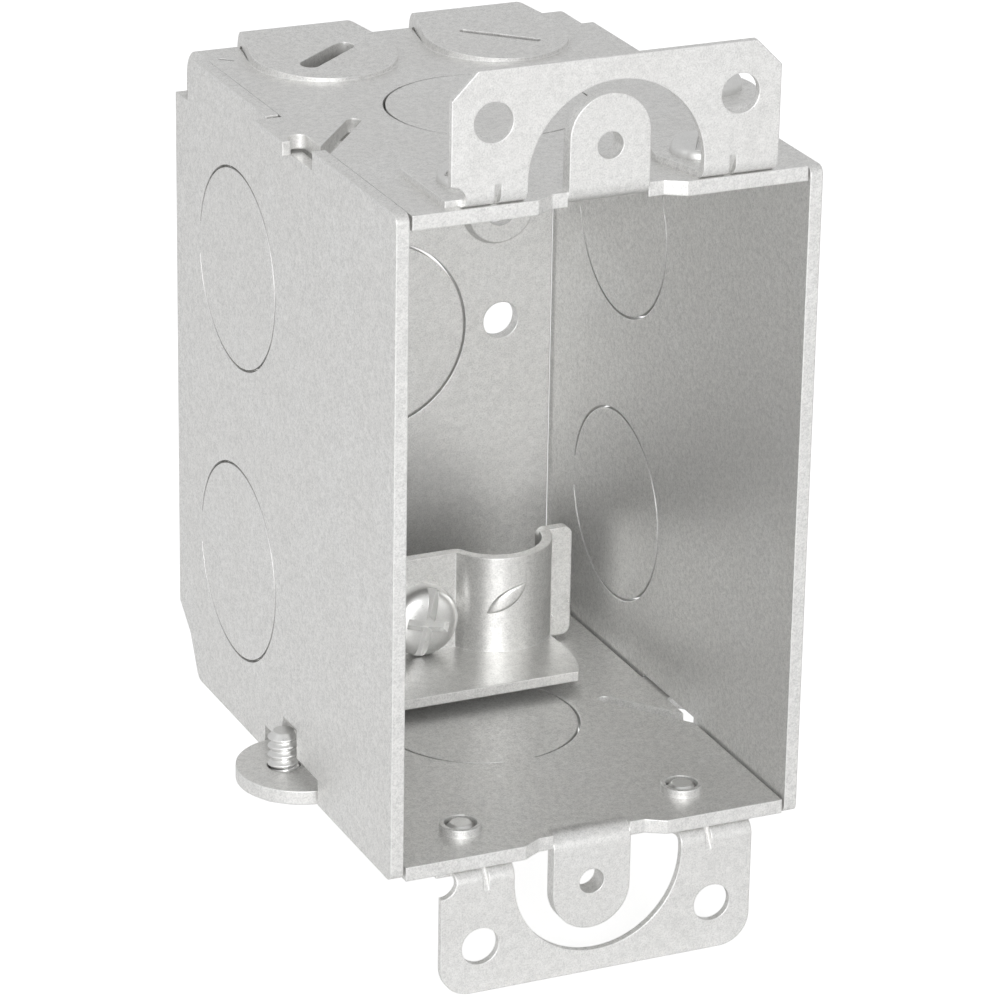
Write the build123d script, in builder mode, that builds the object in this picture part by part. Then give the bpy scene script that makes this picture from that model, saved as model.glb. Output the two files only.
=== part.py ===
from build123d import *
import math
import os

# Gangable switch box for one device, in millimetres.
# X is to the right, Y into the box, Z up. The origin is midway between the two device
# screw holes, on the front face of the device tabs.

# Sheets and gaps
sheet = 1.6
plate_sheet = 1.45
plate_gap = 0.3
shear_line = 0.3

# Folded strip: top, back and bottom walls
body_width = 44.6
body_height = 74.2
box_depth = 64.0
bend_radius = 3.5
tab_setback = 1.0

# Device tabs
device_hole_spacing = 83.3
device_hole_radius = 1.45
device_collar_radius = 2.35
device_collar_length = 0.8
tab_width = 9.1
tab_reach = 5.55
tab_bend_inside = 0.4
relief_front_half = 8.4
relief_rear_half = 6.3
relief_depth = 1.25

# Knockouts
knockout_radius = 11.3
knockout_tie = 3.6
plate_knockout_depth = 44.3
plate_knockout_height = 17.3
wall_knockout_depth = 31.3
back_knockout_height = 0.0
outer_tie_angle = 90
top_tie_angle = -20

# Pry-outs in the rear corners
pry_out_radius = 8.2
pry_out_offset = 10.4
pry_out_from_back = 11.1
pry_out_rear_half = 6.3
pry_out_rise = 0.4
pry_out_tip = 4.4
pry_out_side_gap = 0.45
pry_out_drop = 3.9
pry_slot_length = 9.3
pry_slot_width = 1.0
pried_slot_width = 2.3
pry_slot_angle = 36.0
pry_slot_setback = 1.1

# Back wall holes
nail_hole_radius = 2.2
nail_hole_offset = 15.9
ground_seat_radius = 4.5
ground_seat_rise = 1.2
ground_seat_wall = 1.3
ground_seat_taper = 20
ground_hole_radius = 2.0
ground_seat_x = 15.2
ground_seat_z = 14.1

# Gang lugs and their screws
lug_radius = 7.35
lug_centre_depth = 28.4
lug_inset = 0.4
gang_screw_offset = 24.7
gang_screw_depth = 28.8
gang_shank_radius = 1.8
gang_shank_length = 6.1
gang_head_radius = 3.9
gang_head_height = 1.9
gang_slot_width = 1.1
gang_slot_depth = 1.0
lug_notch_clearance = 0.55
lug_notch_headroom = 1.6
shank_notch_side = 0.35
shank_notch_headroom = 0.5

# Tongues over the plates, each with a slot at 45 degrees behind it
tongue_reach = 3.2
tongue_front = 27.2
tongue_rear = 35.3
tongue_recess_radius = 1.35
tongue_recess_setback = 0.6
tongue_notch_gap = 0.3
tongue_notch_opening = 4.7
catch_slot_width = 1.7
catch_slot_length = 11.4
catch_slot_start = 23.1
catch_slot_lean = 38.6
small_slit_length = 1.9
small_slit_width = 0.6
small_slit_x = 20.3
small_slit_depth = 56.9
small_slit_lean = 40

# Side plates
plate_depth = 62.9
plate_shift = 0.2
plate_corner_radius = 1.0
top_notch_height = 5.2
top_notch_depth = 3.7
top_notch_lean = 0.8
top_notch_corner = 1.8
bottom_notch_rise = 7.6
bottom_notch_height = 4.7
bottom_notch_depth = 3.4
bottom_notch_lean = 2.5
bottom_notch_corner = 1.5

# Plaster ears
ear_sheet = 0.8
ear_half_width = 18.4
ear_setback = -0.6
ear_rim = 4.4
ear_bend_outside = 1.5
ear_foot_end = 13.7
ear_arch_radius = 9.9
ear_arch_gap = 1.9
ear_hole_radius = 2.15
ear_hole_offset = 13.8
ear_hole_below_tab = 1.1
ear_chamfer = 2.85
ear_corner_radius = 3.5
ear_notch_radius = 1.8
ear_foot_corner = 1.5
ear_waist_half = 8.1
ear_waist_depth = 7.2
ear_heel_half = 9.4
ear_gusset_leg = 1.4
ear_gusset_rise = 2.0
ear_gusset_width = 1.5
ear_dimple_rise = 2.5
ear_dimple_width = 0.7

# Ear screws, their bosses and the slots in the feet
ear_screw_offset = 13.2
ear_screw_depth = 6.4
ear_shank_radius = 1.75
ear_screw_end = 0.3
ear_head_radius = 3.5
ear_head_height = 1.8
ear_slot_width_clearance = 0.1
ear_slide_forward = 3.0
ear_slide_back = 1.0
ear_boss_radius = 2.3
ear_boss_length = 0.9
screw_clearance = 0.05
screw_slot_width = 0.9
screw_slot_depth = 0.8
screw_crown = 0.7
screw_point = 0.45

# Cable clamps
clamp_sheet = 1.2
clamp_shift = 0.8
clamp_flat_half = 4.4
clamp_face_depth = 46.5
clamp_crest_x = 8.6
clamp_crest_depth = 43.0
clamp_heel_x = 17.2
clamp_heel_depth = 49.0
clamp_flange_end = 20.2
clamp_height = 11.7
clamp_floor_gap = 1.2
clamp_foot_gap = 0.5
clamp_foot_corner = 1.0
shelf_front_depth = 34.7
shelf_front_half = 14.7
shelf_corner_half = 15.9
shelf_corner_depth = 37.5
shelf_side_half = 16.2
shelf_side_depth = 42.0

# Clamp screws and their tapped collars in the back wall
clamp_screw_rise = 6.7
clamp_shank_radius = 2.08
clamp_hole_clearance = 0.25
clamp_head_radius = 4.3
clamp_head_height = 2.6
clamp_recess_width = 1.3
clamp_recess_depth = 1.4
clamp_recess_reach = 5.2
clamp_collar_radius = 3.1
clamp_collar_length = 1.5
clamp_screw_end = 0.4

# Sizes that follow
half_width = body_width / 2
half_height = body_height / 2
inner_half_height = half_height - sheet
front_edge = -tab_setback
back_face = front_edge + box_depth
back_inner = back_face - sheet
plate_inner = half_width + plate_gap
plate_outer = plate_inner + plate_sheet
plate_middle = (plate_inner + plate_outer) / 2
tab_end = device_hole_spacing / 2 + tab_reach
shelf_top = clamp_floor_gap + clamp_sheet - inner_half_height
clamp_flange_start = clamp_heel_x - clamp_sheet
clamp_flange_length = clamp_height + clamp_sheet + clamp_floor_gap - clamp_foot_gap
clamp_screw_height = inner_half_height - clamp_screw_rise
pry_out_centre_y = back_face - pry_out_from_back
ear_foot_top = half_height + ear_sheet
ear_face = front_edge + ear_setback
lug_edge_x = half_width + lug_inset


def depth(distance):
    # a distance behind the front edge of the walls, as a Y coordinate
    return front_edge + distance


def outward_plane(direction, origin, across=(1, 0, 0)):
    return Plane(origin=origin, x_dir=across, z_dir=direction)


def machine_screw(
    seat, shank_radius, shank_length, head_radius, head_height, slot_width, slot_depth, cross_reach=0
):
    # pan head screw with its seat on the given plane and the head towards its normal
    seat_axis = Axis(seat.origin, seat.z_dir)
    with BuildPart() as screw:
        with BuildSketch(seat):
            Circle(head_radius)
        extrude(amount=head_height)
        crown = screw.faces().sort_by(seat_axis)[-1].edges()
        chamfer(crown, length=screw_crown)
        with BuildSketch(seat):
            Circle(shank_radius)
        extrude(amount=-shank_length)
        tip = screw.faces().sort_by(seat_axis)[0].edges()
        chamfer(tip, length=screw_point)
        with BuildSketch(seat.offset(head_height)):
            Rectangle(2 * head_radius, slot_width)
            if cross_reach:
                Rectangle(slot_width, cross_reach)
        extrude(amount=-slot_depth, mode=Mode.SUBTRACT)
    return screw.part


def knockout_line(plane, tie_angle):
    # sheared line round a knockout, broken by its one tie
    with BuildSketch(plane) as line:
        Circle(knockout_radius + shear_line / 2)
        Circle(knockout_radius - shear_line / 2, mode=Mode.SUBTRACT)
        with PolarLocations(knockout_radius, 1, start_angle=tie_angle):
            Rectangle(2 * sheet, knockout_tie, mode=Mode.SUBTRACT)
    return line.sketch


def pry_out_outline(centre_x, rear_half):
    # round front, with straight sides that close in towards the rear corner
    rear_distance = math.hypot(rear_half, pry_out_from_back)
    tangent_angle = math.atan2(pry_out_from_back, rear_half) - math.acos(pry_out_radius / rear_distance)
    tangent_x = pry_out_radius * math.cos(tangent_angle)
    tangent_y = pry_out_centre_y + pry_out_radius * math.sin(tangent_angle)
    with BuildSketch(Plane.XY.offset(half_height - pry_out_drop)) as outline:
        with BuildLine():
            Polyline(
                (centre_x - tangent_x, tangent_y),
                (centre_x - rear_half, back_face),
                (centre_x + rear_half, back_face),
                (centre_x + tangent_x, tangent_y),
            )
            ThreePointArc(
                (centre_x + tangent_x, tangent_y),
                (centre_x, pry_out_centre_y - pry_out_radius),
                (centre_x - tangent_x, tangent_y),
            )
        make_face()
    return outline.sketch


# Section of the folded strip
with BuildSketch(Plane.YZ) as strip_section:
    with Locations((front_edge + box_depth / 2, 0)):
        Rectangle(box_depth, body_height)
    fillet(strip_section.vertices().group_by(Axis.X)[-1], radius=bend_radius)
    with BuildSketch(mode=Mode.SUBTRACT) as hollow_section:
        with Locations((front_edge + (box_depth - sheet) / 2, 0)):
            Rectangle(box_depth - sheet, 2 * inner_half_height)
        fillet(hollow_section.vertices().group_by(Axis.X)[-1], radius=bend_radius - sheet)


def pry_out_opening(centre_x):
    with BuildPart() as opening:
        extrude(pry_out_outline(centre_x, pry_out_rear_half), amount=pry_out_drop)
    return opening.part


def pry_out_slug(centre_x, slot_width):
    # the rear corner inside the outline, lifted and tipped up about its front edge
    side = math.copysign(1, centre_x)
    front_axis = Axis((0, pry_out_centre_y - pry_out_radius, half_height), (1, 0, 0))
    with BuildPart() as flat_strip:
        extrude(strip_section.sketch, amount=half_width, both=True)
    tipped_strip = flat_strip.part.rotate(front_axis, pry_out_tip).moved(Location((0, 0, pry_out_rise)))
    with BuildPart() as slug:
        outline = pry_out_outline(centre_x, pry_out_rear_half - pry_out_side_gap)
        extrude(outline, amount=2 * pry_out_drop)
        add(tipped_strip, mode=Mode.INTERSECT)
        with BuildSketch(Plane.XY.offset(half_height - sheet)):
            with Locations((centre_x, pry_out_centre_y - pry_slot_setback)):
                SlotOverall(pry_slot_length, slot_width, rotation=-side * pry_slot_angle)
        extrude(amount=pry_out_drop, mode=Mode.SUBTRACT)
    return slug.part


# Device tab at the top, with its bend and the collar round the screw hole
with BuildPart() as device_tab:
    bend_outside = tab_bend_inside + sheet
    tab_end_centre = tab_end - tab_width / 2
    with BuildSketch(Plane.YZ):
        with Locations((bend_outside, half_height + tab_bend_inside)):
            Circle(bend_outside)
            Circle(tab_bend_inside, mode=Mode.SUBTRACT)
            Rectangle(bend_outside, bend_outside, align=(Align.MAX, Align.MAX), mode=Mode.INTERSECT)
    extrude(amount=tab_width / 2, both=True)
    with BuildSketch(Plane.XZ):
        with Locations((0, tab_end_centre)):
            Circle(tab_width / 2)
            Rectangle(
                tab_width,
                tab_end_centre - half_height - tab_bend_inside,
                align=(Align.CENTER, Align.MAX),
            )
    extrude(amount=-sheet)
    with BuildSketch(Plane.XZ.offset(-sheet)):
        with Locations((0, device_hole_spacing / 2)):
            Circle(device_collar_radius)
    extrude(amount=-device_collar_length)
    with BuildSketch(Plane.XZ):
        with Locations((0, device_hole_spacing / 2)):
            Circle(device_hole_radius)
    extrude(amount=-(sheet + device_collar_length), mode=Mode.SUBTRACT)

# Gang lug at the bottom left, level with the bottom wall
with BuildPart() as gang_lug:
    with BuildSketch(Plane.XY.offset(-half_height)):
        with Locations((-lug_edge_x, depth(lug_centre_depth))):
            Circle(lug_radius)
        with Locations((-gang_screw_offset, depth(gang_screw_depth))):
            Circle(gang_shank_radius + screw_clearance, mode=Mode.SUBTRACT)
    extrude(amount=sheet)

# Tongue at the top left, level with the top wall, reaching over the plate
with BuildPart() as plate_tongue:
    with BuildSketch(Plane.XY.offset(inner_half_height)):
        with Locations((-half_width, depth((tongue_front + tongue_rear) / 2))):
            Rectangle(2 * tongue_reach, tongue_rear - tongue_front)
        with Locations((-plate_middle, depth(tongue_front + tongue_recess_setback))):
            Circle(tongue_recess_radius, mode=Mode.SUBTRACT)
    extrude(amount=sheet)

# Pry-outs of one rear corner; one slot at the top left has been levered wider
openings = [pry_out_opening(-pry_out_offset), pry_out_opening(pry_out_offset)]
top_slugs = [
    pry_out_slug(-pry_out_offset, pried_slot_width),
    pry_out_slug(pry_out_offset, pry_slot_width),
]
bottom_slugs = [
    pry_out_slug(-pry_out_offset, pry_slot_width),
    pry_out_slug(pry_out_offset, pry_slot_width),
]

# Body: the folded strip with everything that is cut and formed in it
with BuildPart() as box_body:
    extrude(strip_section.sketch, amount=half_width, both=True)

    # room for the bends of the device tabs
    with BuildSketch(Plane.XY.offset(-half_height)):
        with BuildLine():
            Polyline(
                (-relief_front_half, front_edge),
                (relief_front_half, front_edge),
                (relief_rear_half, depth(relief_depth)),
                (-relief_rear_half, depth(relief_depth)),
                close=True,
            )
        make_face()
        with Locations((0, front_edge)):
            Rectangle(tab_width, tab_setback + bend_outside, align=(Align.CENTER, Align.MIN))
    extrude(amount=body_height, mode=Mode.SUBTRACT)
    add(device_tab.part)
    add(device_tab.part.rotate(Axis.Y, 180))

    add(gang_lug.part)
    add(gang_lug.part.rotate(Axis.Y, 180))
    add(plate_tongue.part)
    add(plate_tongue.part.rotate(Axis.Y, 180))

    # slanting slot behind each tongue, and a small slit near each rear corner
    for end in (-1, 1):
        with BuildSketch(Plane.XY.offset(-end * half_height)):
            with Locations((end * half_width, depth(catch_slot_start))):
                SlotOverall(
                    2 * catch_slot_length, catch_slot_width, rotation=90 + end * catch_slot_lean
                )
            with Locations((end * small_slit_x, depth(small_slit_depth))):
                SlotOverall(small_slit_length, small_slit_width, rotation=end * small_slit_lean)
        extrude(amount=end * sheet, mode=Mode.SUBTRACT)

    # knockouts in the top, bottom and back walls
    wall_knockouts = (
        ((0, 0, 1), (0, depth(wall_knockout_depth), half_height), top_tie_angle),
        ((0, 0, -1), (0, depth(wall_knockout_depth), -half_height), outer_tie_angle),
        ((0, 1, 0), (0, back_face, back_knockout_height), outer_tie_angle),
    )
    for direction, centre, tie_angle in wall_knockouts:
        line = knockout_line(outward_plane(direction, centre), tie_angle)
        extrude(line, amount=-sheet, mode=Mode.SUBTRACT)

    # pry-outs in pairs at both rear corners
    for opening in openings:
        add(opening, mode=Mode.SUBTRACT)
        add(opening.rotate(Axis.Y, 180), mode=Mode.SUBTRACT)
    for slug in top_slugs:
        add(slug)
    for slug in bottom_slugs:
        add(slug.rotate(Axis.Y, 180))

    # raised seat for a ground screw, hollow behind
    with BuildSketch(Plane.XZ.offset(-back_inner)):
        with Locations((ground_seat_x, ground_seat_z)):
            Circle(ground_seat_radius)
    extrude(amount=ground_seat_rise, taper=ground_seat_taper)
    with BuildSketch(Plane.XZ.offset(-back_face)):
        with Locations((ground_seat_x, ground_seat_z)):
            Circle(ground_seat_radius - ground_seat_wall)
    extrude(amount=ground_seat_rise, mode=Mode.SUBTRACT)

    # collars for the clamp screws and the ear screws
    with BuildSketch(Plane.XZ.offset(-back_inner)):
        with Locations((-clamp_shift, -clamp_screw_height), (clamp_shift, clamp_screw_height)):
            Circle(clamp_collar_radius)
    extrude(amount=clamp_collar_length)
    for end in (-1, 1):
        with BuildSketch(Plane.XY.offset(end * inner_half_height)):
            with Locations(
                (-ear_screw_offset, depth(ear_screw_depth)), (ear_screw_offset, depth(ear_screw_depth))
            ):
                Circle(ear_boss_radius)
        extrude(amount=-end * ear_boss_length)
        with BuildSketch(Plane.XY.offset(end * half_height)):
            with Locations(
                (-ear_screw_offset, depth(ear_screw_depth)), (ear_screw_offset, depth(ear_screw_depth))
            ):
                Circle(ear_shank_radius + screw_clearance)
        extrude(amount=-end * (sheet + ear_boss_length), mode=Mode.SUBTRACT)

    # holes through the back wall
    with BuildSketch(Plane.XZ.offset(-back_face)):
        with Locations((-nail_hole_offset, 0), (nail_hole_offset, 0)):
            Circle(nail_hole_radius)
        with Locations((ground_seat_x, ground_seat_z)):
            Circle(ground_hole_radius)
        with Locations((-clamp_shift, -clamp_screw_height), (clamp_shift, clamp_screw_height)):
            Circle(clamp_shank_radius + screw_clearance)
    extrude(amount=sheet + clamp_collar_length, mode=Mode.SUBTRACT)

# Left side plate; the right one is the same plate turned over
with BuildPart() as left_side_plate:
    plate_bottom = plate_shift - half_height
    plate_top = plate_shift + half_height
    plate_rear = depth(plate_depth)
    tongue_notch_floor = inner_half_height - plate_gap
    lug_notch_top = lug_notch_headroom - inner_half_height
    shank_notch_top = gang_shank_length + shank_notch_headroom - half_height
    with BuildSketch(Plane.YZ.offset(-plate_outer)) as plate_outline:
        with Locations((front_edge + plate_depth / 2, plate_shift)):
            Rectangle(plate_depth, body_height)
        with BuildLine():
            Polyline(
                (plate_rear, plate_top),
                (plate_rear, plate_top - top_notch_height),
                (plate_rear - top_notch_depth, plate_top - top_notch_height),
                (plate_rear - top_notch_depth - top_notch_lean, plate_top),
                close=True,
            )
        make_face(mode=Mode.SUBTRACT)
        with BuildLine():
            Polyline(
                (plate_rear, plate_bottom),
                (plate_rear, plate_bottom + bottom_notch_rise),
                (plate_rear - bottom_notch_depth, plate_bottom + bottom_notch_height),
                (plate_rear - bottom_notch_depth - bottom_notch_lean, plate_bottom),
                close=True,
            )
        make_face(mode=Mode.SUBTRACT)
        top_corner = (plate_rear - top_notch_depth - top_notch_lean, plate_top)
        fillet(plate_outline.vertices().sort_by_distance(top_corner)[0], radius=top_notch_corner)
        bottom_corner = (plate_rear - bottom_notch_depth - bottom_notch_lean, plate_bottom)
        fillet(plate_outline.vertices().sort_by_distance(bottom_corner)[0], radius=bottom_notch_corner)
        with Locations((depth(lug_centre_depth), plate_bottom)):
            Rectangle(
                2 * (lug_radius + lug_notch_clearance),
                lug_notch_top - plate_bottom,
                align=(Align.CENTER, Align.MIN),
                mode=Mode.SUBTRACT,
            )
        with Locations((depth(gang_screw_depth), plate_bottom)):
            Rectangle(
                2 * (gang_shank_radius + shank_notch_side),
                shank_notch_top - plate_bottom,
                align=(Align.CENTER, Align.MIN),
                mode=Mode.SUBTRACT,
            )
        with Locations((depth(tongue_rear + tongue_notch_gap), plate_top)):
            Rectangle(
                tongue_rear - tongue_front + tongue_notch_gap + tongue_notch_opening,
                plate_top - tongue_notch_floor,
                align=(Align.MAX, Align.MAX),
                mode=Mode.SUBTRACT,
            )
        front_corners = plate_outline.vertices().group_by(Axis.X)[0]
        fillet(front_corners, radius=plate_corner_radius)
    extrude(amount=plate_sheet)
    for height in (-plate_knockout_height, plate_knockout_height):
        centre = (-plate_outer, depth(plate_knockout_depth), height)
        line = knockout_line(outward_plane((-1, 0, 0), centre, across=(0, 1, 0)), 0)
        extrude(line, amount=-plate_sheet, mode=Mode.SUBTRACT)

with BuildPart() as right_side_plate:
    add(left_side_plate.part.rotate(Axis.Y, 180))


def plaster_ear(cut_corners):
    # one folded sheet: a face with an arch over the device tab, and two slotted feet on the wall
    face_top = tab_end + ear_rim
    bend_end = ear_face + ear_bend_outside
    with BuildPart() as ear:
        with BuildSketch(Plane.YZ) as fold:
            with BuildLine():
                Polyline(
                    (ear_face, half_height),
                    (depth(ear_foot_end), half_height),
                    (depth(ear_foot_end), ear_foot_top),
                    (ear_face + ear_sheet, ear_foot_top),
                    (ear_face + ear_sheet, face_top),
                    (ear_face, face_top),
                    close=True,
                )
            make_face()
            corners = fold.vertices().sort_by_distance((ear_face, half_height))
            fillet(corners[0], radius=ear_bend_outside)
            corners = fold.vertices().sort_by_distance((ear_face + ear_sheet, ear_foot_top))
            fillet(corners[0], radius=ear_bend_outside - ear_sheet)
        extrude(amount=ear_half_width, both=True)

        # rib pressed across the bend over each foot
        for side in (-1, 1):
            inside_y = ear_face + ear_sheet
            with BuildSketch(Plane.YZ.offset(side * ear_screw_offset)):
                with BuildLine():
                    Polyline(
                        (inside_y, ear_foot_top),
                        (inside_y + ear_gusset_leg, ear_foot_top),
                        (inside_y, ear_foot_top + ear_gusset_rise),
                        close=True,
                    )
                make_face()
            extrude(amount=ear_gusset_width / 2, both=True)
            with BuildSketch(Plane.YZ.offset(side * ear_screw_offset)):
                with BuildLine():
                    Polyline(
                        (ear_face, half_height),
                        (ear_face + ear_gusset_leg, half_height),
                        (ear_face, half_height + ear_dimple_rise),
                        close=True,
                    )
                make_face()
            extrude(amount=ear_dimple_width / 2, both=True, mode=Mode.SUBTRACT)

        # arch, screw holes and the notch at the left end of the bend
        with BuildSketch(Plane.XZ.offset(-ear_face)):
            with Locations((0, tab_end + ear_arch_gap - ear_arch_radius)):
                Circle(ear_arch_radius)
                Rectangle(2 * ear_arch_radius, ear_arch_radius, align=(Align.CENTER, Align.MAX))
            with Locations((-ear_half_width, half_height + ear_notch_radius / 2)):
                Circle(ear_notch_radius)
            ear_hole_height = tab_end - ear_hole_below_tab
            with Locations((-ear_hole_offset, ear_hole_height), (ear_hole_offset, ear_hole_height)):
                Circle(ear_hole_radius)
        extrude(amount=-ear_bend_outside, mode=Mode.SUBTRACT)

        # feet: the middle is cut away, and each has a slot for its screw
        with BuildSketch(Plane.XY.offset(half_height)):
            with BuildLine():
                Polyline(
                    (-ear_arch_radius, bend_end),
                    (ear_arch_radius, bend_end),
                    (ear_waist_half, depth(ear_waist_depth)),
                    (ear_heel_half, depth(ear_foot_end)),
                    (-ear_heel_half, depth(ear_foot_end)),
                    (-ear_waist_half, depth(ear_waist_depth)),
                    close=True,
                )
            make_face()
            slot_middle = ear_screw_depth + (ear_slide_forward - ear_slide_back) / 2
            slot_radius = ear_shank_radius + ear_slot_width_clearance
            slot_length = ear_slide_forward + ear_slide_back + 2 * slot_radius
            with Locations((-ear_screw_offset, depth(slot_middle)), (ear_screw_offset, depth(slot_middle))):
                SlotOverall(slot_length, 2 * slot_radius, rotation=90)
        extrude(amount=ear_sheet, mode=Mode.SUBTRACT)

        side_edges = ear.edges().filter_by(Axis.Z).group_by(Axis.Y)[-1]
        fillet(side_edges, radius=ear_foot_corner)
        top_edges = ear.edges().filter_by(Axis.Y).group_by(Axis.Z)[-1]
        if cut_corners:
            chamfer(top_edges, length=ear_chamfer)
        else:
            fillet(top_edges, radius=ear_corner_radius)
    return ear.part


with BuildPart() as top_ear:
    add(plaster_ear(cut_corners=True))

with BuildPart() as bottom_ear:
    add(plaster_ear(cut_corners=False).mirror(Plane.XY))

# Lower cable clamp: a flat middle for the screw, two saddles over the cables, end flanges and a foot
with BuildPart() as lower_clamp:
    saddle_points = []
    for side in (-1, 1):
        saddle_points.append(
            (
                (side * clamp_flat_half, depth(clamp_face_depth)),
                (side * clamp_crest_x, depth(clamp_crest_depth)),
                (side * clamp_heel_x, depth(clamp_heel_depth)),
            )
        )
    left_saddle, right_saddle = saddle_points
    with BuildSketch(Plane.XY.offset(shelf_top)) as saddle_section:
        with BuildLine() as saddle_line:
            ThreePointArc(left_saddle[2], left_saddle[1], left_saddle[0])
            Line(left_saddle[0], right_saddle[0])
            ThreePointArc(right_saddle[0], right_saddle[1], right_saddle[2])
            offset(amount=clamp_sheet, side=Side.LEFT)
        make_face()
    extrude(amount=clamp_height)
    for side in (-1, 1):
        with BuildSketch(Plane.XZ.offset(-depth(clamp_heel_depth))):
            with Locations((side * (clamp_flange_start + clamp_flange_end) / 2, shelf_top + clamp_height)):
                RectangleRounded(
                    clamp_flange_end - clamp_flange_start,
                    clamp_flange_length,
                    clamp_foot_corner,
                    align=(Align.CENTER, Align.MAX),
                )
        extrude(amount=-clamp_sheet)
    with BuildSketch(Plane.XY.offset(shelf_top - clamp_sheet)):
        with BuildLine():
            Line((-shelf_front_half, depth(shelf_front_depth)), (shelf_front_half, depth(shelf_front_depth)))
            Spline(
                (shelf_front_half, depth(shelf_front_depth)),
                (shelf_corner_half, depth(shelf_corner_depth)),
                (shelf_side_half, depth(shelf_side_depth)),
                (shelf_side_half, depth(clamp_heel_depth)),
            )
            Line((shelf_side_half, depth(clamp_heel_depth)), (-shelf_side_half, depth(clamp_heel_depth)))
            Spline(
                (-shelf_side_half, depth(clamp_heel_depth)),
                (-shelf_side_half, depth(shelf_side_depth)),
                (-shelf_corner_half, depth(shelf_corner_depth)),
                (-shelf_front_half, depth(shelf_front_depth)),
            )
        make_face()
    extrude(amount=clamp_sheet)
    with BuildSketch(Plane.XZ.offset(-depth(clamp_face_depth))):
        with Locations((0, -clamp_screw_height)):
            Circle(clamp_shank_radius + clamp_hole_clearance)
    extrude(amount=-2 * clamp_sheet, mode=Mode.SUBTRACT)
lower_clamp_piece = lower_clamp.part.moved(Location((-clamp_shift, 0, 0)))

# Screws
gang_screw = machine_screw(
    outward_plane((0, 0, -1), (-gang_screw_offset, depth(gang_screw_depth), -half_height)),
    gang_shank_radius,
    gang_shank_length,
    gang_head_radius,
    gang_head_height,
    gang_slot_width,
    gang_slot_depth,
)
clamp_shank_length = box_depth - clamp_face_depth + clamp_screw_end
pieces = {
    "box_body": box_body.part,
    "left_side_plate": left_side_plate.part,
    "right_side_plate": right_side_plate.part,
    "left_gang_screw": gang_screw,
    "right_gang_screw": gang_screw.rotate(Axis.Y, 180),
    "top_ear": top_ear.part,
    "bottom_ear": bottom_ear.part,
    "lower_clamp": lower_clamp_piece,
    "upper_clamp": lower_clamp_piece.rotate(Axis.Y, 180),
}
for clamp_name, end in (("lower", -1), ("upper", 1)):
    pieces[clamp_name + "_clamp_screw"] = machine_screw(
        outward_plane(
            (0, -1, 0), (end * clamp_shift, depth(clamp_face_depth), end * clamp_screw_height)
        ),
        clamp_shank_radius,
        clamp_shank_length,
        clamp_head_radius,
        clamp_head_height,
        clamp_recess_width,
        clamp_recess_depth,
        cross_reach=clamp_recess_reach,
    )
ear_shank_length = ear_sheet + sheet + ear_boss_length + ear_screw_end
for wall_name, end in (("top", 1), ("bottom", -1)):
    for side_name, side in (("left", -1), ("right", 1)):
        pieces[wall_name + "_" + side_name + "_ear_screw"] = machine_screw(
            outward_plane((0, 0, end), (side * ear_screw_offset, depth(ear_screw_depth), end * ear_foot_top)),
            ear_shank_radius,
            ear_shank_length,
            ear_head_radius,
            ear_head_height,
            screw_slot_width,
            screw_slot_depth,
        )

os.makedirs("parts", exist_ok=True)
for name, piece in pieces.items():
    piece.label = name
    export_step(piece, "parts/" + name + ".step")
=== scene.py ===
import math

import bmesh
import bpy
from mathutils import Matrix, Vector


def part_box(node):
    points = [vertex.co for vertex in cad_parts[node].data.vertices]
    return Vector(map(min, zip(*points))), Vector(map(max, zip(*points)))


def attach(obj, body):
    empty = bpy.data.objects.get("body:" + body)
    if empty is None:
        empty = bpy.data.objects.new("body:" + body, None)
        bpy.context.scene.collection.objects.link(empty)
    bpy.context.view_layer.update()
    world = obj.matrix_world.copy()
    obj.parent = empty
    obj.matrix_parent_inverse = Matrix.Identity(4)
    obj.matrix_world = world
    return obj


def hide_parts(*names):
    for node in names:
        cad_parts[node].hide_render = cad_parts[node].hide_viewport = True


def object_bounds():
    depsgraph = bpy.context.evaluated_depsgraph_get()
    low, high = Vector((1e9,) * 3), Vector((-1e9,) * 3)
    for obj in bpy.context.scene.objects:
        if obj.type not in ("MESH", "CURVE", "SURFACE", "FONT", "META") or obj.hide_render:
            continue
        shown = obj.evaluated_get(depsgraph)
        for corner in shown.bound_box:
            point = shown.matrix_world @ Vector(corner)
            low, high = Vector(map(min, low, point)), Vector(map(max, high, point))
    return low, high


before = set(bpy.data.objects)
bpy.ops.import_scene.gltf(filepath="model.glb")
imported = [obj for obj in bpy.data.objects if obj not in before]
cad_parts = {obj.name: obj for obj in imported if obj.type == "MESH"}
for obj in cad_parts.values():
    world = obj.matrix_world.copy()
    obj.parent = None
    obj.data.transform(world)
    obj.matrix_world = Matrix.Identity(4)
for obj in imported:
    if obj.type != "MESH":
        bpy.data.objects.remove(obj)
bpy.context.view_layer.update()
scene = bpy.context.scene


def addNode(tree, kind, wires=None, **settings):
    # wires gives each input, by name or number, a plain value or an output socket
    node = tree.nodes.new(kind)
    for name, value in settings.items():
        setattr(node, name, value)
    for key, value in (wires or {}).items():
        socket = node.inputs[key]
        if isinstance(value, bpy.types.NodeSocket):
            tree.links.new(value, socket)
        else:
            socket.default_value = value
    return node


def math2(tree, a, b, operation="ADD"):
    return addNode(tree, "ShaderNodeMath", {0: a, 1: b}, operation=operation).outputs[0]


def remap(tree, value, lowIn, highIn, lowOut, highOut, smooth=False):
    kind = "SMOOTHSTEP" if smooth else "LINEAR"
    wires = {"Value": value, "From Min": lowIn, "From Max": highIn, "To Min": lowOut, "To Max": highOut}
    return addNode(tree, "ShaderNodeMapRange", wires, interpolation_type=kind).outputs["Result"]


# Metal finishes

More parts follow.
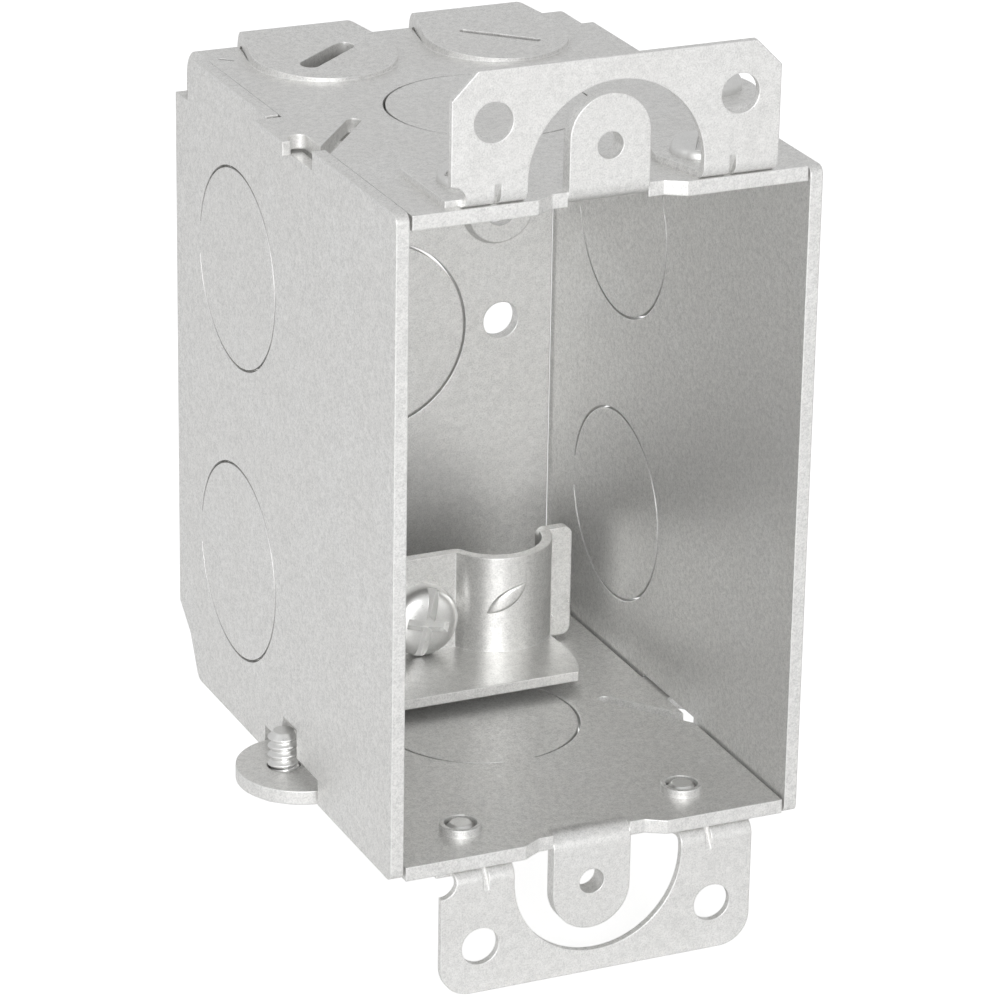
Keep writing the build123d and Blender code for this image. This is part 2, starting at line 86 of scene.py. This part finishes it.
galvanisedSheet = {
    "zincColour": (0.90, 0.895, 0.88, 1),
    "grainColour": (0.62, 0.62, 0.61, 1),
    "patchColour": (0.93, 0.93, 0.92, 1),
    # edge colour: lighter bare metal on worn edges, and a painted highlight along every edge
    "edgeWearAndHighlightColour": (0.96, 0.96, 0.95, 1),
    "grainSize": 0.00018,
    "patchSize": 0.009,
    "grainAmount": 0.85,
    "metalness": 0.75,
    "roughnessLow": 0.27,
    "roughnessHigh": 0.5,
    "bumpHeight": 0.00003,
    "edgeRadius": 0.00022,
}

clampSteel = dict(galvanisedSheet, metalness=0.85, roughnessLow=0.22, roughnessHigh=0.44, grainAmount=0.8)

screwZinc = {
    "zincColour": (0.80, 0.80, 0.79, 1),
    "grainColour": (0.62, 0.62, 0.61, 1),
    "patchColour": (0.86, 0.86, 0.85, 1),
    # edge colour: lighter bare metal on worn edges, and a painted highlight along every edge
    "edgeWearAndHighlightColour": (0.93, 0.93, 0.92, 1),
    "grainSize": 0.00016,
    "patchSize": 0.003,
    "grainAmount": 0.35,
    "metalness": 0.95,
    "roughnessLow": 0.22,
    "roughnessHigh": 0.42,
    "bumpHeight": 0.000015,
    "edgeRadius": 0.00012,
}


# how grain, patches, worn edges and the painted highlight along them are drawn, the same on every finish
zincPattern = {
    "fineDetail": 3.0, "fineRough": 0.65, "fineShare": 0.6,
    "coarseScale": 0.28, "coarseDetail": 4.0, "coarseRough": 0.7, "coarseShare": 0.4,
    "grainFrom": 0.40, "grainTo": 0.62,
    "patchDetail": 2.0, "patchRough": 0.5, "patchFrom": 0.42, "patchTo": 0.68, "patchAmount": 0.55,
    "rubScale": 2.7, "rubDetail": 5.0, "rubRough": 0.62, "rubFrom": 0.58, "rubTo": 0.74, "rubPolish": 0.35,
    # edge numbers: where the worn edges and their painted highlight begin, and how strong they are
    "edgeWearAndHighlightFrom": 0.985, "edgeWearAndHighlightTo": 0.86, "edgeWearAndHighlightAmount": 0.75, "edgeSamples": 6,
    "dullFrom": 0.1, "dullTo": 0.65, "bumpStrength": 0.5,
}


def metalFinish(name, look):
    pattern = zincPattern
    material = bpy.data.materials.new(name)
    material.use_nodes = True
    tree = material.node_tree
    tree.nodes.clear()
    place = addNode(tree, "ShaderNodeTexCoord").outputs["Object"]

    # fine grain of the zinc, with a coarser grain under it
    fine = addNode(tree, "ShaderNodeTexNoise", {
        "Vector": place, "Scale": 1 / look["grainSize"],
        "Detail": pattern["fineDetail"], "Roughness": pattern["fineRough"]}).outputs[0]
    coarse = addNode(tree, "ShaderNodeTexNoise", {
        "Vector": place, "Scale": pattern["coarseScale"] / look["grainSize"],
        "Detail": pattern["coarseDetail"], "Roughness": pattern["coarseRough"]}).outputs[0]
    grain = math2(tree, math2(tree, fine, pattern["fineShare"], "MULTIPLY"),
                  math2(tree, coarse, pattern["coarseShare"], "MULTIPLY"))
    grainMask = remap(tree, grain, pattern["grainFrom"], pattern["grainTo"], 0.0, 1.0)

    # wide soft patches and a few faint rubbed spots
    patch = addNode(tree, "ShaderNodeTexNoise", {
        "Vector": place, "Scale": 1 / look["patchSize"],
        "Detail": pattern["patchDetail"], "Roughness": pattern["patchRough"]}).outputs[0]
    patchMask = remap(tree, patch, pattern["patchFrom"], pattern["patchTo"], 0.0, 1.0, smooth=True)
    rub = addNode(tree, "ShaderNodeTexNoise", {
        "Vector": place, "Scale": pattern["rubScale"] / look["patchSize"],
        "Detail": pattern["rubDetail"], "Roughness": pattern["rubRough"]}).outputs[0]
    rubMask = remap(tree, rub, pattern["rubFrom"], pattern["rubTo"], 0.0, 1.0, smooth=True)

    base = addNode(tree, "ShaderNodeMix", {
        0: math2(tree, patchMask, pattern["patchAmount"], "MULTIPLY"),
        6: look["zincColour"], 7: look["patchColour"]},
        data_type="RGBA").outputs[2]
    grained = addNode(tree, "ShaderNodeMix", {
        0: math2(tree, grainMask, look["grainAmount"], "MULTIPLY"), 6: base, 7: look["grainColour"]},
        data_type="RGBA").outputs[2]

    # worn edges with a painted highlight: the colour goes lighter where the rounded normal leaves the flat one
    rounded = addNode(tree, "ShaderNodeBevel", {"Radius": look["edgeRadius"]},
                      samples=pattern["edgeSamples"]).outputs[0]
    flat = addNode(tree, "ShaderNodeNewGeometry").outputs["Normal"]
    agree = addNode(tree, "ShaderNodeVectorMath", {0: rounded, 1: flat},
                    operation="DOT_PRODUCT").outputs["Value"]
    edgeWearAndHighlightMask = remap(tree, agree, pattern["edgeWearAndHighlightFrom"], pattern["edgeWearAndHighlightTo"], 0.0, pattern["edgeWearAndHighlightAmount"])
    colour = addNode(tree, "ShaderNodeMix", {0: edgeWearAndHighlightMask, 6: grained, 7: look["edgeWearAndHighlightColour"]},
                     data_type="RGBA").outputs[2]

    dull = math2(tree, grain, math2(tree, rubMask, pattern["rubPolish"], "MULTIPLY"), "SUBTRACT")
    roughness = remap(tree, dull, pattern["dullFrom"], pattern["dullTo"],
                      look["roughnessLow"], look["roughnessHigh"])
    bump = addNode(tree, "ShaderNodeBump", {
        "Strength": pattern["bumpStrength"], "Distance": look["bumpHeight"],
        "Height": grain, "Normal": rounded}).outputs[0]
    shader = addNode(tree, "ShaderNodeBsdfPrincipled", {
        "Base Color": colour, "Metallic": look["metalness"], "Roughness": roughness, "Normal": bump})
    addNode(tree, "ShaderNodeOutputMaterial", {"Surface": shader.outputs[0]})
    return material


sheetMaterial = metalFinish("galvanisedSheet", galvanisedSheet)
clampMaterial = metalFinish("brightClamp", clampSteel)
screwMaterial = metalFinish("zincScrew", screwZinc)

for nodeName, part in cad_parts.items():
    finish = sheetMaterial
    if nodeName.endswith("clamp"):
        finish = clampMaterial
    if nodeName.endswith("screw"):
        finish = screwMaterial
    part.data.materials.clear()
    part.data.materials.append(finish)
print("finishes ready")


# Screws, made by one Geometry Nodes tree

gangScrew = {
    "shankRadius": 0.0018, "threadDepth": 0.00042, "pitch": 0.00106, "shankLength": 0.0061,
    "headRadius": 0.0039, "headHeight": 0.0019, "slotWidth": 0.0011, "slotDepth": 0.0010,
    "crossReach": 0.0, "domePower": 0.55,
}
clampScrew = {
    "shankRadius": 0.00208, "threadDepth": 0.00042, "pitch": 0.00079375, "shankLength": 0.0179,
    "headRadius": 0.0043, "headHeight": 0.0026, "slotWidth": 0.0012, "slotDepth": 0.0014,
    "crossReach": 0.0026, "domePower": 0.62,
}
earScrew = {
    "shankRadius": 0.00175, "threadDepth": 0.00034, "pitch": 0.00079375, "shankLength": 0.0036,
    "headRadius": 0.0035, "headHeight": 0.0018, "slotWidth": 0.0009, "slotDepth": 0.0008,
    "crossReach": 0.0, "domePower": 0.8,
}

# the mesh and the small reliefs that all screws share
screwMesh = {
    "shankRows": 230, "shankSteps": 41, "tipReach": 1.02, "tipWidth": 0.002,
    "crestFrom": 0.12, "crestTo": 0.86, "leadLength": 0.0007, "leadDepth": 0.00062, "intoHead": 0.0003,
    "headRows": 26, "headSteps": 73, "rimReach": 1.05, "rimWidth": 0.01, "weldDistance": 0.000002,
    "cutAbove": 0.0005, "cutExtra": 0.001, "slotReach": 2.4, "floorApart": 0.00004, "leastCross": 0.0001,
    "sharpAngle": 35.0,
}


def screwTree():
    # seat at the origin, head along +Z, shank along -Z
    tree = bpy.data.node_groups.new("screwBuilder", "GeometryNodeTree")
    tree.interface.new_socket("Geometry", in_out="OUTPUT", socket_type="NodeSocketGeometry")
    for name in gangScrew:
        tree.interface.new_socket(name, in_out="INPUT", socket_type="NodeSocketFloat")
    tree.interface.new_socket("material", in_out="INPUT", socket_type="NodeSocketMaterial")
    size = addNode(tree, "NodeGroupInput").outputs

    def calc(operation, a, b=0.0):
        return math2(tree, a, b, operation)

    def ringGrid(rows, columns):
        # a unit grid whose X is the way round and whose Y is the way along
        grid = addNode(tree, "GeometryNodeMeshGrid", {
            "Size X": 1.0, "Size Y": 1.0, "Vertices X": columns, "Vertices Y": rows}).outputs[0]
        spot = addNode(tree, "ShaderNodeSeparateXYZ", {
            0: addNode(tree, "GeometryNodeInputPosition").outputs[0]}).outputs
        return grid, calc("ADD", spot[0], 0.5), calc("ADD", spot[1], 0.5)

    def wrapped(grid, around, radius, height):
        turn = calc("MULTIPLY", around, 2 * math.pi)
        target = addNode(tree, "ShaderNodeCombineXYZ", {
            0: calc("MULTIPLY", radius, calc("COSINE", turn)),
            1: calc("MULTIPLY", radius, calc("SINE", turn)),
            2: height}).outputs[0]
        return addNode(tree, "GeometryNodeSetPosition", {"Geometry": grid, "Position": target}).outputs[0]

    # shank: a tube whose radius follows the thread, closed at its tip
    grid, around, along = ringGrid(screwMesh["shankRows"], screwMesh["shankSteps"])
    length = size["shankLength"]
    down = calc("MULTIPLY", calc("MINIMUM", calc("MULTIPLY", along, screwMesh["tipReach"]), 1.0), length)
    turns = calc("DIVIDE", down, size["pitch"])
    phase = calc("FRACT", calc("ADD", turns, around))
    ridge = calc("ABSOLUTE", calc("SUBTRACT", calc("MULTIPLY", phase, 2.0), 1.0))
    crest = addNode(tree, "ShaderNodeMapRange", {
        "Value": ridge, "From Min": screwMesh["crestFrom"], "From Max": screwMesh["crestTo"],
        "To Min": 0.0, "To Max": 1.0}).outputs[0]
    groove = calc("MULTIPLY", size["threadDepth"], calc("SUBTRACT", 1.0, crest))
    fromTip = calc("SUBTRACT", length, down)
    lead = addNode(tree, "ShaderNodeMapRange", {
        "Value": fromTip, "From Min": 0.0, "From Max": screwMesh["leadLength"],
        "To Min": screwMesh["leadDepth"], "To Max": 0.0}).outputs[0]
    wall = calc("SUBTRACT", size["shankRadius"], calc("MAXIMUM", groove, lead))
    closed = calc("COMPARE", along, 1.0)
    closed.node.inputs[2].default_value = screwMesh["tipWidth"]
    radius = calc("MULTIPLY", wall, calc("SUBTRACT", 1.0, closed))
    depth = calc("MULTIPLY", calc("SUBTRACT", down, screwMesh["intoHead"]), -1.0)
    shank = wrapped(grid, around, radius, depth)

    # head: a rounded pan, closed underneath
    grid, around, along = ringGrid(screwMesh["headRows"], screwMesh["headSteps"])
    overRim = calc("MINIMUM", calc("MULTIPLY", along, screwMesh["rimReach"]), 1.0)
    bend = calc("MULTIPLY", overRim, math.pi / 2)
    headWall = calc("MULTIPLY", size["headRadius"], calc("POWER", calc("SINE", bend), size["domePower"]))
    headTop = calc("MULTIPLY", size["headHeight"], calc("POWER", calc("COSINE", bend), size["domePower"]))
    closed = calc("COMPARE", along, 1.0)
    closed.node.inputs[2].default_value = screwMesh["rimWidth"]
    keep = calc("SUBTRACT", 1.0, closed)
    head = wrapped(grid, around, calc("MULTIPLY", headWall, keep), calc("MULTIPLY", headTop, keep))
    head = addNode(tree, "GeometryNodeMergeByDistance", {
        "Geometry": head, "Distance": screwMesh["weldDistance"]}).outputs[0]

    # straight slot, and the short arm of a cross where crossReach is above nothing
    slotMiddle = calc("SUBTRACT", calc("ADD", size["headHeight"], screwMesh["cutAbove"]),
                      calc("MULTIPLY", size["slotDepth"], 0.5))
    slotTall = calc("ADD", size["slotDepth"], screwMesh["cutExtra"])
    cutters = []
    for reach, wide, turnedBy in (
        (calc("MULTIPLY", size["headRadius"], screwMesh["slotReach"]), size["slotWidth"], 0.0),
        (calc("MULTIPLY", size["crossReach"], 2.0), size["slotWidth"], math.pi / 2),
    ):
        blockSize = addNode(tree, "ShaderNodeCombineXYZ", {0: reach, 1: wide, 2: slotTall}).outputs[0]
        block = addNode(tree, "GeometryNodeMeshCube", {"Size": blockSize}).outputs[0]
        # the two floors lie a hair apart, so that the cuts stay clean where they cross
        height = calc("SUBTRACT", slotMiddle, screwMesh["floorApart"] * len(cutters))
        cutters.append(addNode(tree, "GeometryNodeTransform", {
            "Geometry": block, "Rotation": (0, 0, turnedBy),
            "Translation": addNode(tree, "ShaderNodeCombineXYZ", {2: height}).outputs[0]}).outputs[0])
    slotted = addNode(tree, "GeometryNodeMeshBoolean", {0: head, 1: cutters[0]},
                      operation="DIFFERENCE").outputs[0]
    crossed = addNode(tree, "GeometryNodeMeshBoolean", {0: slotted, 1: cutters[1]},
                      operation="DIFFERENCE").outputs[0]
    hasCross = addNode(tree, "FunctionNodeCompare", {0: size["crossReach"], 1: screwMesh["leastCross"]},
                       data_type="FLOAT", operation="GREATER_THAN").outputs[0]
    finalHead = addNode(tree, "GeometryNodeSwitch", {0: hasCross, 1: slotted, 2: crossed},
                        input_type="GEOMETRY").outputs[0]

    joined = addNode(tree, "GeometryNodeJoinGeometry")
    tree.links.new(shank, joined.inputs[0])
    tree.links.new(finalHead, joined.inputs[0])
    smooth = addNode(tree, "GeometryNodeSetShadeSmooth", {
        "Geometry": joined.outputs[0], "Shade Smooth": True}).outputs[0]
    real = addNode(tree, "GeometryNodeRealizeInstances", {0: smooth}).outputs[0]
    painted = addNode(tree, "GeometryNodeSetMaterial", {
        "Geometry": real, "Material": size["material"]}).outputs[0]
    addNode(tree, "NodeGroupOutput", {0: painted})
    return tree


screwBuilder = screwTree()


def makeScrew(nodeName, sizes, seat, headWay, turned=0.0):
    # seat and headWay are in the frame; the finished mesh sits at the origin, already in place
    holder = bpy.data.objects.new("screwHolder", bpy.data.meshes.new("screwHolder"))
    scene.collection.objects.link(holder)
    modifier = holder.modifiers.new("screwBuilder", "NODES")
    modifier.node_group = screwBuilder
    for item in screwBuilder.interface.items_tree:
        if item.in_out == "INPUT":
            modifier[item.identifier] = screwMaterial if item.name == "material" else sizes[item.name]
    graph = bpy.context.evaluated_depsgraph_get()
    mesh = bpy.data.meshes.new_from_object(holder.evaluated_get(graph))
    bpy.data.objects.remove(holder)
    stand = Vector(headWay).to_track_quat("Z", "Y").to_matrix().to_4x4()
    mesh.transform(Matrix.Translation(seat) @ stand @ Matrix.Rotation(turned, 4, "Z"))
    mesh.set_sharp_from_angle(angle=math.radians(screwMesh["sharpAngle"]))
    screw = bpy.data.objects.new(nodeName + "_detailed", mesh)
    scene.collection.objects.link(screw)
    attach(screw, nodeName)
    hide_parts(nodeName)


def seatOf(nodeName, axis, side, headHeight):
    # the underside of a CAD screw's head, found from its box
    low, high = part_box(nodeName)
    seat = (low + high) / 2
    seat[axis] = high[axis] - headHeight if side > 0 else low[axis] + headHeight
    return seat


for nodeName, side in (("left_gang_screw", -1), ("right_gang_screw", 1)):
    makeScrew(nodeName, gangScrew, seatOf(nodeName, 2, side, gangScrew["headHeight"]), (0, 0, side), 0.6)
for nodeName, turned in (("lower_clamp_screw", 1.35), ("upper_clamp_screw", 0.4)):
    makeScrew(nodeName, clampScrew, seatOf(nodeName, 1, -1, clampScrew["headHeight"]), (0, -1, 0), turned)
for nodeName, side, turned in (
    ("top_left_ear_screw", 1, 0.3), ("top_right_ear_screw", 1, 1.0),
    ("bottom_left_ear_screw", -1, 0.8), ("bottom_right_ear_screw", -1, 0.2),
):
    makeScrew(nodeName, earScrew, seatOf(nodeName, 2, side, earScrew["headHeight"]), (0, 0, side), turned)
print("screws ready")


# Lens pressed out of each saddle of the clamps

saddleLens = {
    "length": 0.0061, "width": 0.0021, "rise": 0.00042, "lean": 36.0, "sunk": 0.0001,
    "saddleRadius": 0.00676, "saddleX": 0.01046, "saddleY": 0.0485, "lensX": 0.0093, "lensZ": -0.0265,
    "clampShift": -0.0008, "rows": 17, "columns": 33,
    "pointShare": 0.999, "flatness": 4, "endPower": 0.6, "weldDistance": 0.000001,
}


def addLenses(nodeName, upsideDown):
    sizes = saddleLens
    rows, columns = sizes["rows"], sizes["columns"]
    lean = math.radians(sizes["lean"])
    vertices, faces = [], []
    for side in (-1, 1):
        startAngle = math.asin((sizes["lensX"] - sizes["saddleX"]) / sizes["saddleRadius"])
        for layer in (1, 0):
            first = len(vertices)
            for row in range(rows):
                across = row / (rows - 1) * 2 - 1
                for column in range(columns):
                    along = math.sin((column / (columns - 1) * 2 - 1) * math.pi / 2) * sizes["pointShare"]
                    edge = 1 - along * along
                    a = along * sizes["length"] / 2
                    b = across * edge * sizes["width"] / 2
                    height = -sizes["sunk"]
                    if layer:  # the raised skin; the other layer closes it underneath
                        swell = math.sqrt(max(0, 1 - across ** sizes["flatness"]))
                        height += sizes["rise"] * swell * edge ** sizes["endPower"]
                    turn = startAngle + (a * math.cos(lean) - b * math.sin(lean)) / sizes["saddleRadius"]
                    reach = sizes["saddleRadius"] + height
                    spot = Vector((
                        side * (sizes["saddleX"] + reach * math.sin(turn)) + sizes["clampShift"],
                        sizes["saddleY"] - reach * math.cos(turn),
                        sizes["lensZ"] + a * math.sin(lean) + b * math.cos(lean)))
                    if upsideDown:
                        spot.x, spot.z = -spot.x, -spot.z
                    vertices.append(spot)
            for row in range(rows - 1):
                for column in range(columns - 1):
                    corner = first + row * columns + column
                    faces.append((corner, corner + 1, corner + columns + 1, corner + columns))
    mesh = bpy.data.meshes.new(nodeName + "_lenses")
    mesh.from_pydata(vertices, [], faces)
    shape = bmesh.new()
    shape.from_mesh(mesh)
    bmesh.ops.remove_doubles(shape, verts=shape.verts, dist=sizes["weldDistance"])
    bmesh.ops.recalc_face_normals(shape, faces=shape.faces)
    shape.to_mesh(mesh)
    shape.free()
    mesh.materials.append(clampMaterial)
    mesh.shade_smooth()
    lenses = bpy.data.objects.new(nodeName + "_lenses", mesh)
    scene.collection.objects.link(lenses)
    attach(lenses, nodeName)


addLenses("lower_clamp", False)
addLenses("upper_clamp", True)
print("lenses ready")


# Floor, light and camera

studio = {
    "floorDrop": 0.0005,
    "floorSize": 3.0,
    "paperColour": (0.9, 0.9, 0.9, 1),
    "floorGlow": 0.62,
    "floorShine": 0.17,
    "worldLevel": 0.5,
    "worldShine": 0.68,
    "keyPower": 9.5,
    "keySize": 0.8,
    "keyPlace": (-0.35, -1.0, 0.12),
    "fillPower": 1.8,
    "fillSize": 1.0,
    "fillPlace": (-0.9, -0.3, 0.3),
}
cameraPlace = {
    "azimuth": -24.448, "elevation": 21.977, "roll": 1.014, "distance": 0.511036,
    "shiftRight": -0.011003, "shiftUp": 0.002898, "origin": (0, -0.001, 0), "lens": 175.74,
    "clipStart": 0.01,
}

lowest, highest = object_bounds()
floorMesh = bpy.data.meshes.new("studioFloor")
half = studio["floorSize"] / 2
level = lowest[2] - studio["floorDrop"]
floorMesh.from_pydata([(-half, -half, level), (half, -half, level), (half, half, level), (-half, half, level)],
                      [], [(0, 1, 2, 3)])
studioFloor = bpy.data.objects.new("studioFloor", floorMesh)
scene.collection.objects.link(studioFloor)

floorMaterial = bpy.data.materials.new("paleFloor")
floorMaterial.use_nodes = True
tree = floorMaterial.node_tree
tree.nodes.clear()
paper = addNode(tree, "ShaderNodeBsdfDiffuse", {"Color": studio["paperColour"]}).outputs[0]
path = addNode(tree, "ShaderNodeLightPath").outputs
glowLevel = math2(tree, math2(tree, path["Is Camera Ray"], studio["floorGlow"], "MULTIPLY"),
                 math2(tree, path["Is Glossy Ray"], studio["floorShine"], "MULTIPLY"))
glow = addNode(tree, "ShaderNodeEmission", {"Color": (1, 1, 1, 1), "Strength": glowLevel}).outputs[0]
litPaper = addNode(tree, "ShaderNodeAddShader", {0: paper, 1: glow}).outputs[0]
addNode(tree, "ShaderNodeOutputMaterial", {"Surface": litPaper})
floorMesh.materials.append(floorMaterial)

world = bpy.data.worlds.new("softStudio")
scene.world = world
world.use_nodes = True
tree = world.node_tree
tree.nodes.clear()
path = addNode(tree, "ShaderNodeLightPath").outputs
seen = math2(tree, path["Is Camera Ray"], path["Is Transmission Ray"], "MAXIMUM")
level = addNode(tree, "ShaderNodeMix", {
    0: path["Is Glossy Ray"], 2: studio["worldLevel"], 3: studio["worldShine"]}).outputs[0]
strength = addNode(tree, "ShaderNodeMix", {0: seen, 2: level, 3: 1.0}).outputs[0]
air = addNode(tree, "ShaderNodeBackground", {"Color": (1, 1, 1, 1), "Strength": strength})
addNode(tree, "ShaderNodeOutputWorld", {"Surface": air.outputs[0]})


def addLamp(name, place, power, size):
    lamp = bpy.data.lights.new(name, "AREA")
    lamp.energy = power
    lamp.size = size
    lampObject = bpy.data.objects.new(name, lamp)
    lampObject.location = place
    lampObject.rotation_euler = (-Vector(place)).to_track_quat("-Z", "Y").to_euler()
    scene.collection.objects.link(lampObject)


addLamp("keyLamp", studio["keyPlace"], studio["keyPower"], studio["keySize"])
addLamp("fillLamp", studio["fillPlace"], studio["fillPower"], studio["fillSize"])

cameraData = bpy.data.cameras.new("photoCamera")
cameraData.lens = cameraPlace["lens"]
cameraData.clip_start = cameraPlace["clipStart"]
camera = bpy.data.objects.new("photoCamera", cameraData)
scene.collection.objects.link(camera)
azimuth, elevation, roll = (math.radians(cameraPlace[k]) for k in ("azimuth", "elevation", "roll"))
right = Vector((math.cos(azimuth), math.sin(azimuth), 0))
back = Vector((math.sin(azimuth) * math.cos(elevation),
               -math.cos(azimuth) * math.cos(elevation), math.sin(elevation)))
up = back.cross(right)
rolledRight = right * math.cos(roll) + up * math.sin(roll)
rolledUp = up * math.cos(roll) - right * math.sin(roll)
spot = Vector(cameraPlace["origin"]) + rolledRight * cameraPlace["shiftRight"]
spot += rolledUp * cameraPlace["shiftUp"] + back * cameraPlace["distance"]
camera.matrix_world = Matrix.Translation(spot) @ Matrix((rolledRight, rolledUp, back)).transposed().to_4x4()
scene.camera = camera
scene.view_settings.view_transform = "Standard"
print("studio ready")
